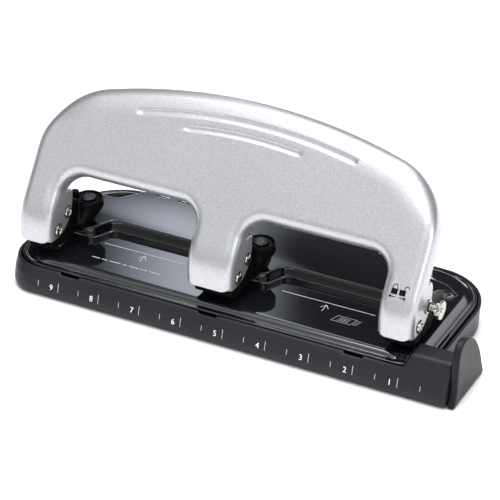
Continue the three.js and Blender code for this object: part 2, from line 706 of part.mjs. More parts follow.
const handleGroup = new THREE.Group();
handleGroup.add(piece('handle', handle(), SILVER_PAINT));
handleGroup.add(piece('lock_bush', lockBush(), NICKEL));
handleGroup.add(piece('lock_pin', lockPin(), NICKEL));

for (const head of HEADS) {
  baseGroup.add(piece(`punch_head_${head.name}`, punchHead(head), BLACK_CAST));
  baseGroup.add(piece(`die_${head.name}`, die(head), TOOL_STEEL));
  baseGroup.add(piece(`punch_pin_${head.name}`, punchPin(head), TOOL_STEEL));
  baseGroup.add(piece(`spring_washer_${head.name}`, springWasher(head), NICKEL));
  baseGroup.add(piece(`return_spring_${head.name}`, returnSpring(head), SPRING_STEEL));
  if (head.post) baseGroup.add(piece(`stop_button_${head.name}`, stopButton(head), NICKEL));
  screwPlaces(head).forEach((place, i) => {
    baseGroup.add(piece(`head_screw_${head.name}_${i + 1}`, headScrew(place), NICKEL));
  });
  handleGroup.add(piece(`pivot_pin_${head.name}`, pivotPin(head), NICKEL));
  handleGroup.add(piece(`drive_pin_${head.name}`, drivePin(head), NICKEL));
}

assembly.add(trayGroup, baseGroup, handleGroup);

// Stand the punch on z = 0 with the origin at the middle of its box.
const footprintBox = new THREE.Box3().setFromObject(assembly);
const centre = footprintBox.getCenter(new THREE.Vector3());
assembly.position.set(-centre.x, -centre.y, -footprintBox.min.z);
assembly.updateMatrixWorld(true);

export default assembly;
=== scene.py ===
"""Looks of the three hole punch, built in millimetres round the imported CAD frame."""
import math

import bpy
import numpy as np
from mathutils import Matrix, Vector


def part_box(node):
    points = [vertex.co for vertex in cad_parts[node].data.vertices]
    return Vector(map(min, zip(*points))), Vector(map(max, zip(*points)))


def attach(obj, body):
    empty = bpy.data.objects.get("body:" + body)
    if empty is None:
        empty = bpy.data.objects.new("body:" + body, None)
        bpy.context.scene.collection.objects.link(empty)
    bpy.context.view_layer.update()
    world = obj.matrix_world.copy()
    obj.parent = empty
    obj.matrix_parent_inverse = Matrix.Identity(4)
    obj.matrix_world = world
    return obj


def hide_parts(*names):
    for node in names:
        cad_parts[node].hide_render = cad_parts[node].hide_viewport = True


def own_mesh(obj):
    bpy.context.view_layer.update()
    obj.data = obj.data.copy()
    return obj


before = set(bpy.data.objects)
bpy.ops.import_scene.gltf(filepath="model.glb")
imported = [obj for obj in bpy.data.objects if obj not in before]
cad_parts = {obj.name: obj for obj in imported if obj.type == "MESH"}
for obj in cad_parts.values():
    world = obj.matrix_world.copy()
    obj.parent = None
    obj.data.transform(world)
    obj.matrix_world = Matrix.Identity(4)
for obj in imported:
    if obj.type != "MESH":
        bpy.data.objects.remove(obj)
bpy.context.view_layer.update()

# ------------------------------------------------------------ driving dimensions, in mm
# Design axes: x = 0 at the middle hole, y = 0 at the front foot line, z = 0 on the desk.
PUNCH_Y = 27.9
die_low, die_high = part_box("die_middle")
ORIGIN = np.array([(die_low.x + die_high.x) * 500, (die_low.y + die_high.y) * 500 - PUNCH_Y, 0])

HOLE_PITCH = 107.95
SHEET = 1.4
FULCRUM = (16.5, 34.8)
DRIVE = (27.1, 41.0)

TRAY_LEFT = 125.2
TRAY_RIGHT = 129
TRAY_BACK = 104.6
TRAY_REAR_RADIUS = 34
TRAY_BOTTOM = 0.8
TRAY_TOP = 16.3
TRAY_WALL = 1.8
FRONT_Z = [0.8, 3.5, 7, 11.5, 16.3]
FRONT_Y = [0.5, -0.7, -1, 0.2, 3.4]
BLOCK_LEFT = 117
BLOCK_RIGHT = 140.9
BLOCK_BACK = 19
BLOCK_TOP = 23.8
STOP_LEFT = 141.2
STOP_RIGHT = 145.4

# Base plate: inset from the tray's ends, front, back, front corner radius, rear corner radius
PLATE_PLAN = (2.6, 5.6, 101, 18, 30)
RIM_TOP = 16.4
PANEL_TOP = 19
DECK_TOP = 25
HINGE_X, HINGE_Y, HINGE_Z = 70, 100.2, 15
ARM_Y, ARM_Z = 12.8, 9.9
INCH = 25.4

LEAN = math.radians(54.2)
UP = np.array([math.cos(LEAN), math.sin(LEAN)])
BACK = np.array([math.sin(LEAN), -math.cos(LEAN)])
LEG_FRONT = 6
BEND_Z = 36
BEND_RADIUS = 30
BEND_TURN = math.pi / 2 - LEAN
BEND_END = np.array([LEG_FRONT + BEND_RADIUS * (1 - math.cos(BEND_TURN)),
                     BEND_Z + BEND_RADIUS * math.sin(BEND_TURN)])
FACE_DEPTH = float(BEND_END @ BACK)
END_LEG = 10.3
MIDDLE_LEG = 13.8
HANDLE_HALF = HOLE_PITCH + END_LEG
WINDOW_OUTER = HOLE_PITCH - END_LEG
WINDOW_TOP = 70
WINDOW_RADIUS = 12
HANDLE_TOP = 131
CORNER_RADIUS = 42
CROWN_RADIUS = 335
FLANGE = 12
EDGE_RADIUS = 6

HEADS = {"left": (-HOLE_PITCH, END_LEG, True), "middle": (0, MIDDLE_LEG, True),
         "right": (HOLE_PITCH, END_LEG, False)}


# ------------------------------------------------------------ camera, light and floor
def studio():
    """Camera at the photograph's angle, white floor, a world of soft light and two lamps."""
    azimuth, elevation = math.radians(27.121), math.radians(30.798)
    right = Vector((math.cos(azimuth), math.sin(azimuth), 0))
    ahead = Vector((-math.sin(azimuth) * math.cos(elevation), math.cos(azimuth) * math.cos(elevation),
                    -math.sin(elevation)))
    up = right.cross(ahead)
    aim = (Vector((-0.3, 30, 40)) + Vector(ORIGIN)) / 1000
    place = aim + 0.01246 * right + 0.00114 * up - 1.2502 * ahead
    camera = bpy.data.objects.new("camera", bpy.data.cameras.new("camera"))
    camera.data.lens = 167.8
    camera.data.sensor_width = 36
    camera.matrix_world = Matrix.Translation(place) @ Matrix((right, up, -ahead)).transposed().to_4x4()
    bpy.context.scene.collection.objects.link(camera)
    bpy.context.scene.camera = camera

    bpy.context.scene.world = studio_world()
    bpy.context.scene.view_settings.view_transform = "Standard"

    def area(name, position, target, size, power, color=(1, 1, 1)):
        data = bpy.data.lights.new(name, "AREA")
        data.shape = "RECTANGLE"
        data.size, data.size_y = size
        data.energy = power
        data.color = color
        lamp = bpy.data.objects.new(name, data)
        lamp.location = position
        lamp.rotation_euler = (Vector(target) - Vector(position)).to_track_quat("-Z", "Y").to_euler()
        bpy.context.scene.collection.objects.link(lamp)

    area("top", (-0.05, 0.02, 1.3), (0, 0, 0.05), (1.0, 0.5), 14)
    area("side", (1.2, -0.2, 0.5), (0, 0, 0.05), (0.4, 0.6), 3, (0.92, 0.96, 1))

    bpy.ops.mesh.primitive_plane_add(size=8, location=(0, 0, 0))
    floor = bpy.context.object
    floor.name = "floor"
    floor.data.materials.append(simple_material("floor_white", (0.93, 0.93, 0.93), 0.8))


def studio_world():
    """Bright overhead and front, dim behind, with one soft strip of light low at the back left."""
    world = bpy.data.worlds.new("studio")
    world.use_nodes = True
    nodes, links = world.node_tree.nodes, world.node_tree.links
    place = nodes.new("ShaderNodeTexCoord")

    def towards(x, y, z):
        dot = nodes.new("ShaderNodeVectorMath")
        dot.operation = "DOT_PRODUCT"
        dot.inputs[1].default_value = (x, y, z)
        links.new(place.outputs["Generated"], dot.inputs[0])
        return dot.outputs["Value"]

    def ramp(value, start, end, low, high):
        fade = nodes.new("ShaderNodeMapRange")
        fade.interpolation_type = "SMOOTHSTEP"
        for key, number in (("From Min", start), ("From Max", end), ("To Min", low), ("To Max", high)):
            fade.inputs[key].default_value = number
        links.new(value, fade.inputs["Value"])
        return fade.outputs["Result"]

    def combine(operation, a, b):
        result = nodes.new("ShaderNodeMath")
        result.operation = operation
        links.new(a, result.inputs[0])
        links.new(b, result.inputs[1])
        return result.outputs["Value"]

    aside = towards(0.887, 0.4617, 0.185)
    behind = towards(-0.4617, 0.887, 0)
    height = towards(0, 0, 1)
    corner = towards(0.074, 0.764, 0.641)
    east = towards(1, 0, 0)
    strip_light = combine("MULTIPLY", ramp(aside, 0.025, 0.08, 0, 1), ramp(aside, 0.08, 0.13, 1, 0))
    strip_light = combine("MULTIPLY", strip_light, ramp(behind, 0.5, 0.7, 0, 1))
    strip_light = combine("MULTIPLY", strip_light, ramp(height, 0.04, 0.5, 0.1, 2.9))
    front = combine("MULTIPLY", ramp(behind, -0.6, 0.3, 1, 0), ramp(height, 0, 0.42, 0.36, 0.72))
    above = combine("MAXIMUM", ramp(east, -0.46, -0.38, 0.3, 1), ramp(behind, -0.1, 0.2, 1, 0))
    overhead = combine("MULTIPLY", ramp(height, 0.6, 0.95, 0.05, 1.8), above)
    sky = combine("ADD", overhead, front)
    sky = combine("ADD", sky, ramp(corner, 0.97, 0.995, 0, 2.0))
    plain = nodes["Background"]
    plain.inputs["Color"].default_value = (0.97, 0.98, 1, 1)
    links.new(sky, plain.inputs["Strength"])
    bluish = nodes.new("ShaderNodeBackground")
    bluish.inputs["Color"].default_value = (0.86, 0.92, 1.05, 1)
    links.new(strip_light, bluish.inputs["Strength"])
    both = nodes.new("ShaderNodeAddShader")
    links.new(plain.outputs["Background"], both.inputs[0])
    links.new(bluish.outputs["Background"], both.inputs[1])
    links.new(both.outputs["Shader"], nodes["World Output"].inputs["Surface"])
    return world


def new_material(name):
    material = bpy.data.materials.new(name)
    material.use_nodes = True
    return material, material.node_tree.nodes, material.node_tree.links


def simple_material(name, color, roughness):
    material, nodes, _ = new_material(name)
    shader = nodes["Principled BSDF"]
    shader.inputs["Base Color"].default_value = (*color, 1)
    shader.inputs["Roughness"].default_value = roughness
    return material


# ------------------------------------------------------------ materials
def textured(name, dark, light, roughness, scale, bump=0.0, metallic=0.0, coat=0.0, speckle=0.0,
             coat_roughness=0.05, stretch=(1, 1, 1), ior=1.45):
    """A finish whose colour, roughness and surface all vary a little, at a scale in mm."""
    material, nodes, links = new_material(name)
    shader = nodes["Principled BSDF"]
    shader.inputs["Metallic"].default_value = metallic
    shader.inputs["IOR"].default_value = ior
    shader.inputs["Coat Weight"].default_value = coat
    shader.inputs["Coat Roughness"].default_value = coat_roughness
    place = nodes.new("ShaderNodeTexCoord")
    mapping = nodes.new("ShaderNodeMapping")
    mapping.inputs["Scale"].default_value = stretch
    links.new(place.outputs["Object"], mapping.inputs["Vector"])

    noise = nodes.new("ShaderNodeTexNoise")
    noise.inputs["Scale"].default_value = 1000 / scale
    noise.inputs["Detail"].default_value = 4
    links.new(mapping.outputs["Vector"], noise.inputs["Vector"])
    broad = nodes.new("ShaderNodeTexNoise")
    broad.inputs["Scale"].default_value = 18
    broad.inputs["Detail"].default_value = 3
    links.new(place.outputs["Object"], broad.inputs["Vector"])
    blend = nodes.new("ShaderNodeMix")
    blend.data_type = "FLOAT"
    blend.inputs[0].default_value = 0.35
    links.new(noise.outputs["Fac"], blend.inputs[2])
    links.new(broad.outputs["Fac"], blend.inputs[3])
    value = blend.outputs[0]
    if speckle:
        flakes = nodes.new("ShaderNodeTexVoronoi")
        flakes.inputs["Scale"].default_value = 1000 / 0.45
        links.new(place.outputs["Object"], flakes.inputs["Vector"])
        split = nodes.new("ShaderNodeSeparateColor")
        links.new(flakes.outputs["Color"], split.inputs["Color"])
        mix = nodes.new("ShaderNodeMix")
        mix.data_type = "FLOAT"
        mix.inputs[0].default_value = speckle
        links.new(value, mix.inputs[2])
        links.new(split.outputs["Red"], mix.inputs[3])
        value = mix.outputs[0]
    ramp = nodes.new("ShaderNodeValToRGB")
    ramp.color_ramp.elements[0].position = 0.25
    ramp.color_ramp.elements[1].position = 0.75
    ramp.color_ramp.elements[0].color = (*dark, 1)
    ramp.color_ramp.elements[1].color = (*light, 1)
    links.new(value, ramp.inputs["Fac"])
    links.new(ramp.outputs["Color"], shader.inputs["Base Color"])
    rough = nodes.new("ShaderNodeMapRange")
    rough.inputs["To Min"].default_value = roughness[0]
    rough.inputs["To Max"].default_value = roughness[1]
    links.new(blend.outputs[0], rough.inputs["Value"])
    links.new(rough.outputs["Result"], shader.inputs["Roughness"])
    if bump:
        bumper = nodes.new("ShaderNodeBump")
        bumper.inputs["Strength"].default_value = bump
        bumper.inputs["Distance"].default_value = 0.0001
        links.new(value, bumper.inputs["Height"])
        links.new(bumper.outputs["Normal"], shader.inputs["Normal"])
    return material


SILVER = textured("silver_paint", (0.475, 0.475, 0.495), (0.61, 0.61, 0.635), (0.30, 0.40), 0.8, bump=0.12,
                  metallic=0.75, coat=0.2, speckle=0.5, coat_roughness=0.2)
GLOSS = textured("black_gloss", (0.004, 0.0045, 0.006), (0.008, 0.009, 0.011), (0.04, 0.08), 2.0,
                 coat=0.8, coat_roughness=0.03)
CAST = textured("black_casting", (0.002, 0.002, 0.0025), (0.006, 0.006, 0.0065), (0.3, 0.45), 0.9, bump=0.2,
                coat=0.08, coat_roughness=0.1, ior=1.16)
TRAY = textured("tray_plastic", (0.014, 0.0136, 0.017), (0.025, 0.0244, 0.0295), (0.33, 0.44), 0.35, bump=0.5,
                ior=1.26)
STOP = textured("stop_plastic", (0.010, 0.0098, 0.012), (0.018, 0.0176, 0.0212), (0.34, 0.45), 0.35, bump=0.5,
                ior=1.24)
RUBBER = textured("rubber", (0.012, 0.012, 0.012), (0.03, 0.03, 0.03), (0.75, 0.95), 0.5, bump=0.6)
NICKEL = textured("nickel", (0.36, 0.345, 0.31), (0.60, 0.575, 0.53), (0.10, 0.26), 0.6, bump=0.3, metallic=1)
STEEL = textured("tool_steel", (0.30, 0.31, 0.32), (0.5, 0.51, 0.53), (0.18, 0.34), 0.3, bump=0.3,
                 metallic=1, stretch=(1, 1, 0.1))
DARK_STEEL = textured("dark_steel", (0.05, 0.05, 0.055), (0.13, 0.13, 0.14), (0.2, 0.35), 0.5, bump=0.2,
                      metallic=1)
WIRE = textured("spring_wire", (0.38, 0.38, 0.39), (0.6, 0.6, 0.61), (0.2, 0.32), 0.4, bump=0.15, metallic=1)
WHITE_INK = textured("white_ink", (0.85, 0.85, 0.85), (0.97, 0.97, 0.97), (0.4, 0.6), 0.5)
GREY_INK = textured("grey_ink", (0.42, 0.44, 0.46), (0.56, 0.58, 0.60), (0.3, 0.5), 0.5)
BLACK_INK = textured("black_ink", (0.001, 0.001, 0.001), (0.004, 0.004, 0.004), (0.5, 0.7), 0.5, ior=1.2)


# ------------------------------------------------------------ mesh building
def piece(name, vertices, faces, material, body, nodes=(), sharp=None):
    """One mesh object from millimetre points, riding on a body and standing for CAD nodes."""
    mesh = bpy.data.meshes.new(name)
    points = (np.asarray(vertices, float) + ORIGIN) / 1000
    mesh.from_pydata(points.tolist(), [], [list(face) for face in faces])
    mesh.validate()
    mesh.polygons.foreach_set("use_smooth", np.ones(len(mesh.polygons), bool))
    if sharp:
        mesh.set_sharp_from_angle(angle=math.radians(sharp))
    mesh.materials.append(material)
    obj = bpy.data.objects.new(name, mesh)
    bpy.context.scene.collection.objects.link(obj)
    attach(obj, body)
    if nodes:
        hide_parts(*nodes)
    return obj


def surface_net(values, axes):
    """Vertices and quads of the zero surface of a field on a grid; it is negative inside."""
    inside = values < 0
    steps = np.eye(3, dtype=int)
    shape = np.array(values.shape) - 1
    count = np.zeros(shape, np.int8)
    for corner in np.ndindex(2, 2, 2):
        part = tuple(slice(c, c + n) for c, n in zip(corner, shape))
        count += inside[part]
    mixed = (count > 0) & (count < 8)
    cells = np.argwhere(mixed)
    number = np.full(shape, -1)
    number[mixed] = np.arange(len(cells))
    total = np.zeros((len(cells), 3))
    hits = np.zeros(len(cells))
    for axis in range(3):
        for side in np.ndindex(2, 2):
            start = cells.copy()
            start[:, (axis + 1) % 3] += side[0]
            start[:, (axis + 2) % 3] += side[1]
            end = start + steps[axis]
            a = values[tuple(start.T)]
            b = values[tuple(end.T)]
            crossed = (a < 0) != (b < 0)
            share = np.where(crossed, a / np.where(crossed, a - b, 1), 0)
            point = start + share[:, None] * steps[axis]
            total[crossed] += point[crossed]
            hits += crossed
    grid = total / hits[:, None]
    vertices = np.stack([np.interp(grid[:, k], np.arange(len(axes[k])), axes[k]) for k in range(3)], axis=1)
    quads = []
    for axis in range(3):
        b, c = (axis + 1) % 3, (axis + 2) % 3
        low = np.take(inside, range(shape[axis]), axis=axis)
        high = np.take(inside, range(1, shape[axis] + 1), axis=axis)
        edges = np.argwhere(low != high)
        edges = edges[(edges[:, b] > 0) & (edges[:, c] > 0)
                      & (edges[:, b] < shape[b]) & (edges[:, c] < shape[c])]
        ring = [edges, edges - steps[b], edges - steps[b] - steps[c], edges - steps[c]]
        quad = np.stack([number[tuple(p.T)] for p in ring], axis=1)
        flipped = low[tuple(edges.T)]
        quad[~flipped] = quad[~flipped][:, ::-1]
        quads.append(quad)
    quads = np.concatenate(quads)
    return relaxed(vertices, quads), quads


def neighbour_mean(quads, count):
    """A function that gives the mean of each vertex's neighbours."""
    ends = np.concatenate([quads[:, [i, (i + 1) % 4]] for i in range(4)])
    ends = np.concatenate([ends, ends[:, ::-1]])
    degree = np.maximum(np.bincount(ends[:, 0], minlength=count), 1)[:, None]

    def mean(vertices):
        sums = [np.bincount(ends[:, 0], vertices[ends[:, 1], k], count) for k in range(3)]
        return np.stack(sums, axis=1) / degree
    return mean


def relaxed(vertices, quads, rounds=3):
    """Vertices eased towards their neighbours and back, which takes out the grid's ripple."""
    mean = neighbour_mean(quads, len(vertices))
    for share in (0.5, -0.52) * rounds:
        vertices = vertices + share * (mean(vertices) - vertices)
    return vertices


def ticks(*spans):
    """Grid lines from (start, end, step) spans that follow on from each other."""
    parts = [np.arange(start, end, step) for start, end, step in spans]
    return np.concatenate(parts + [[spans[-1][1]]])


def round_meet(a, b, radius):
    """What lies inside both fields, with their shared edge rounded."""
    edge = np.hypot(np.maximum(a + radius, 0), np.maximum(b + radius, 0))
    return np.minimum(np.maximum(a, b), -radius) + edge


def round_join(a, b, radius):
    """What lies inside either field, with a fillet where they meet."""
    return -round_meet(-a, -b, radius)


def round_cut(a, b, radius):
    """What lies inside the first field and outside the second."""
    return round_meet(a, -b, radius)


def outline_distance(points, a, b):
    """Signed distance to a closed outline, negative inside it."""
    points = np.asarray(points, float)
    nearest = np.full(a.shape, np.inf)
    inside = np.zeros(a.shape, bool)
    for (a0, b0), (a1, b1) in zip(points, np.roll(points, -1, axis=0)):
        da, db = a1 - a0, b1 - b0
        along = np.clip(((a - a0) * da + (b - b0) * db) / max(da * da + db * db, 1e-12), 0, 1)
        nearest = np.minimum(nearest, (a - a0 - along * da) ** 2 + (b - b0 - along * db) ** 2)
        if db:
            inside ^= ((b0 > b) != (b1 > b)) & (a < da * (b - b0) / db + a0)
    return np.where(inside, -1, 1) * np.sqrt(nearest)


def path_distance(points, a, b):
    """Distance to an open path."""
    nearest = np.full(a.shape, np.inf)
    for (a0, b0), (a1, b1) in zip(points[:-1], points[1:]):
        da, db = a1 - a0, b1 - b0
        along = np.clip(((a - a0) * da + (b - b0) * db) / (da * da + db * db), 0, 1)
        nearest = np.minimum(nearest, np.hypot(a - a0 - along * da, b - b0 - along * db))
    return nearest


def arc(a, b, radius, start, end, count=12):
    """Points on an arc, by angles in radians."""
    return [(a + radius * math.cos(t), b + radius * math.sin(t)) for t in np.linspace(start, end, count)]


def curve(p0, p1, p2, p3, count=10):
    """Points on a cubic curve, without its last one."""
    t = np.linspace(0, 1, count, endpoint=False)[:, None]
    points = [np.asarray(p, float) for p in (p0, p1, p2, p3)]
    weights = ((1 - t) ** 3, 3 * t * (1 - t) ** 2, 3 * t * t * (1 - t), t ** 3)
    return [tuple(p) for p in sum(w * p for w, p in zip(weights, points))]


def step_up(value):
    """Smooth rise from 0 to 1."""
    value = np.clip(value, 0, 1)
    return value ** 3 * (value * (6 * value - 15) + 10)


def soften(field, axes, spread):
    """A field on a plane grid, smoothed by a bell of the given spread in mm."""
    for side in (0, 1):
        line = axes[side]
        bell = np.exp(-0.5 * ((line[:, None] - line[None, :]) / spread) ** 2)
        bell /= bell.sum(axis=1, keepdims=True)
        field = bell @ field if side == 0 else field @ bell.T
    return field


def sample(field, axes, x, y):
    """A plane grid's field at scattered points, blended from the four grid values round each."""
    place = [np.interp(value, line, np.arange(len(line))) for value, line in zip((x, y), axes)]
    i, j = [np.clip(part.astype(int), 0, len(line) - 2) for part, line in zip(place, axes)]
    a, b = place[0] - i, place[1] - j
    return ((1 - a) * ((1 - b) * field[i, j] + b * field[i, j + 1])
            + a * ((1 - b) * field[i + 1, j] + b * field[i + 1, j + 1]))


def rounded_plan(x, y, inset, front, back, front_radius, rear_radius):
    """Signed distance to the tray's plan, drawn in by an inset, with its four corner radii."""
    middle = (front + back) / 2
    radius = np.where(y < middle, front_radius, rear_radius)
    qx = np.abs(x - (TRAY_RIGHT - TRAY_LEFT) / 2) - (TRAY_RIGHT + TRAY_LEFT) / 2 + inset + radius
    qy = np.abs(y - middle) - (back - front) / 2 + radius
    return np.minimum(np.maximum(qx, qy), 0) + np.hypot(np.maximum(qx, 0), np.maximum(qy, 0)) - radius


def lathe(profile, centre, axis="z", segments=48):
    """Vertices and faces of (radius, height) points turned about a line; off the line, they make a ring."""
    profile = np.asarray(profile, float)
    angles = np.linspace(0, 2 * math.pi, segments, endpoint=False)
    rings = []
    for radius, height in profile:
        across = np.stack([radius * np.cos(angles), radius * np.sin(angles)], axis=1)
        column = np.full((segments, 1), height)
        parts = [across, column] if axis == "z" else [column, across]
        rings.append(np.concatenate(parts, axis=1) + np.asarray(centre, float))
    vertices = np.concatenate(rings)
    faces = []
    for level in range(len(profile) - 1):
        for i in range(segments):
            j = (i + 1) % segments
            a, b = level * segments + i, level * segments + j
            faces.append((a, b, b + segments, a + segments))
    last = (len(profile) - 1) * segments
    if profile[0, 0] > 0.02:
        faces += [(last + i, last + (i + 1) % segments, (i + 1) % segments, i) for i in range(segments)]
    else:
        faces += [tuple(range(segments))[::-1], tuple(range(last, last + segments))]
    return vertices, faces


def turned(name, profile, centre, material, body, nodes, axis="z", segments=48):
    """A turned profile as one piece."""
    vertices, faces = lathe(profile, centre, axis, segments)
    return piece(name, vertices, faces, material, body, nodes, sharp=35)


# ------------------------------------------------------------ handle
def along_face(distance, depth):
    """Side-view point on the leaning face: up it from the bend, and into its back."""
    return tuple(BEND_END + distance * UP + depth * BACK)


def blank_outline():
    """Front view of the handle in its face's plane, as (x, height up the face)."""
    corner_x = HANDLE_HALF - CORNER_RADIUS
    crown = HANDLE_TOP - CROWN_RADIUS
    corner_v = crown + math.sqrt((CROWN_RADIUS - CORNER_RADIUS) ** 2 - corner_x ** 2)
    turn = math.atan2(corner_v - crown, corner_x)
    half = math.pi / 2
    low = -10
    points = [(HANDLE_HALF, low), (HANDLE_HALF, corner_v)]
    points += arc(corner_x, corner_v, CORNER_RADIUS, 0, turn, 20)
    points += arc(0, crown, CROWN_RADIUS, turn, math.pi - turn, 30)
    points += arc(-corner_x, corner_v, CORNER_RADIUS, math.pi - turn, math.pi, 20)
    points += [(-HANDLE_HALF, low), (-WINDOW_OUTER, low)]
    r, top = WINDOW_RADIUS, WINDOW_TOP
    points += arc(-WINDOW_OUTER + r, top - r, r, math.pi, half)
    points += arc(-MIDDLE_LEG - r, top - r, r, half, 0)
    points += [(-MIDDLE_LEG, low), (MIDDLE_LEG, low)]
    points += arc(MIDDLE_LEG + r, top - r, r, math.pi, half)
    points += arc(WINDOW_OUTER - r, top - r, r, half, 0)
    points += [(WINDOW_OUTER, low)]
    return points


def front_profile():
    """Side view of the space behind the handle's front surface."""
    bend = [(LEG_FRONT + BEND_RADIUS * (1 - math.cos(t)), BEND_Z + BEND_RADIUS * math.sin(t))
            for t in np.linspace(0, BEND_TURN, 16)]
    return [(LEG_FRONT, -60)] + bend + [along_face(160, 0), along_face(160, 120), (200, -60)]


def rear_profile():
    """Side view of the space in front of the flanges and cheeks."""
    points = [(-60, 30), (16, 30)]
    points += curve((18, 30.2), (27, 31.5), (32.6, 40), (33, 48))
    points += curve((33, 48), (33.2, 52), (31.5, 56), along_face(9, FLANGE))
    points += [along_face(9, FLANGE), along_face(160, FLANGE), along_face(160, -80), (-60, 60)]
    return points


def groove_path(left, right, top, radius, tilt):
    """A pressed groove's middle line, following the crown."""
    return [(w, top - radius + math.sqrt(radius ** 2 - w ** 2) + tilt * w)
            for w in np.linspace(left, right, 24)]


def build_handle():
    """Stamped shell with a crowned face, two windows, three legs and two pressed grooves."""
    w = ticks((-120, -84, 0.6), (-84, -28, 1.4), (-28, 28, 0.6), (28, 84, 1.4), (84, 120, 0.6))
    v = ticks((24, 78, 0.6), (78, 102, 1.0), (102, 133, 0.5))
    n = ticks((-1.5, 24, 0.45)) + FACE_DEPTH
    ww, wv = np.meshgrid(w, v, indexing="ij")
    vv, vn = np.meshgrid(v, n, indexing="ij")
    y = vv * UP[0] + vn * BACK[0]
    z = vv * UP[1] + vn * BACK[1]
    blank = outline_distance(blank_outline(), ww, wv)[:, :, None]
    crown = 2.9 * step_up((v[None, :] - 84) / 24) * np.clip(1 + blank[:, :, 0] / 17, 0, 1) ** 2
    front = outline_distance(front_profile(), y, z)[None] + crown[:, :, None]
    rear = outline_distance(rear_profile(), y, z)[None]
    below = (30 - z)[None]
    outer = round_meet(blank, front, EDGE_RADIUS)
    for path in (groove_path(-61, 65, 117.8, 300, 0.012), groove_path(-31.5, 34, 110.4, 260, 0.015)):
        groove = step_up((1.8 - path_distance(path, ww, wv)) / 0.9)
        outer = outer + 0.65 * groove[:, :, None]
    shell = np.abs(outer + SHEET / 2) - SHEET / 2
    corners = round_meet(blank, below, 5) - 1.2 * np.maximum(-front - 2, 0)
    shell = round_meet(shell, rear, 0.5)
    shell = round_meet(shell, corners, 0.4)
    bush_hole = np.maximum((np.hypot(y - DRIVE[0], z - DRIVE[1]) - 3.4)[None], 113 - w[:, None, None])
    shell = round_cut(shell, bush_hole, 0.2)
    vertices, quads = surface_net(shell, (w, v, n))
    placed = np.stack([vertices[:, 0],
                       vertices[:, 1] * UP[0] + vertices[:, 2] * BACK[0],
                       vertices[:, 1] * UP[1] + vertices[:, 2] * BACK[1]], axis=1)
    piece("handle_shell", placed, quads[:, ::-1], SILVER, "handle", ["handle"])


def on_leg(points, lift=0.06):
    """Flat artwork as (x, height up the face), laid on the front of the bend."""
    profile = np.array(front_profile()[1:18])
    heights = profile @ UP
    y = np.interp(points[:, 1], heights, profile[:, 0])
    z = np.interp(points[:, 1], heights, profile[:, 1])
    return np.stack([points[:, 0], y - lift * 0.85, z + lift * 0.5], axis=1)


def strip(x0, v0, x1, v1, width):
    """A thin bar from one flat point to another, cut in short steps."""
    start, end = np.array([x0, v0]), np.array([x1, v1])
    run = end - start
    side = np.array([-run[1], run[0]]) / np.hypot(*run) * width / 2
    steps = max(2, int(np.hypot(*run) / 0.7))
    points, faces = [], []
    for i in range(steps + 1):
        middle = start + run * i / steps
        points += [middle + side, middle - side]
        if i:
            faces.append((2 * i - 2, 2 * i - 1, 2 * i + 1, 2 * i))
    return np.array(points), faces


def gather(parts):
    """Several flat parts as one."""
    points, faces, offset = [], [], 0
    for part_points, part_faces in parts:
        points.append(part_points)
        faces += [tuple(i + offset for i in face) for face in part_faces]
        offset += len(part_points)
    return np.concatenate(points), faces


def ring_strip(x, v, radius, start, end, width):
    """A thin arc made of short bars, by angles in degrees."""
    bends = arc(x, v, radius, math.radians(start), math.radians(end), 10)
    return gather([strip(*a, *b, width) for a, b in zip(bends[:-1], bends[1:])])


def padlock(x, v, is_open):
    """A small padlock sign, with an arrow under it that says which way the knob goes."""
    parts = [strip(x - 1.75, v + 1.5, x + 1.75, v + 1.5, 3.0)]
    middle = x + (2.0 if is_open else 0)
    parts.append(ring_strip(middle, v + 3.9, 1.25, 0, 180, 0.42))
    parts.append(strip(middle - 1.25, v + 2.8, middle - 1.25, v + 3.9, 0.42))
    if not is_open:
        parts.append(strip(x + 1.25, v + 2.8, x + 1.25, v + 3.9, 0.42))
    way = 1 if is_open else -1
    tip = x + way * 2.3
    parts.append(strip(x - way * 1.2, v - 1.3, tip, v - 1.3, 0.42))
    parts += [strip(tip, v - 1.3, tip - way * 1.1, v - 1.3 + lean, 0.5) for lean in (0.7, -0.7)]
    return gather(parts)


def build_lock_signs():
    """A closed and an open padlock on the right leg."""
    points, faces = gather([padlock(105.3, 50.4, False), padlock(109.8, 50.4, True)])
    piece("lock_signs", on_leg(points), faces, BLACK_INK, "handle")


# ------------------------------------------------------------ rivets, knob and small turned pieces
def rivet_profile(left, right, shank, head, domed):
    """A riveted pin: a domed or a dished head at each end of a plain shank."""
    rim = [(0.01, 1.3), (0.3, 1.26), (0.55, 1.1), (0.78, 0.78), (0.93, 0.4), (1, 0.15), (1, 0)]
    if not domed:
        rim = [(0.01, 0.7), (0.32, 0.68), (0.45, 0.4), (0.56, 0.45), (0.66, 1.0), (0.84, 0.9),
               (1, 0.2), (1, 0)]
    first = [(max(r * head, 0.01), left - h) for r, h in rim]
    second = [(max(r * head, 0.01), right + h) for r, h in rim]
    return first + [(shank, left), (shank, right)] + second[::-1]


def rivet_seat(name, x, y, z, radius):
    """Painted shadow: a thin black ring round the rivet's head, standing in for the shade where the head meets
    the paint.
    """
    turned(name, [(radius - 0.9, x - 0.1), (radius, x - 0.1), (radius + 0.1, x), (radius, x + 0.1),
                  (radius - 0.9, x + 0.1)], (0, y, z), BLACK_INK, "handle", [], axis="x")


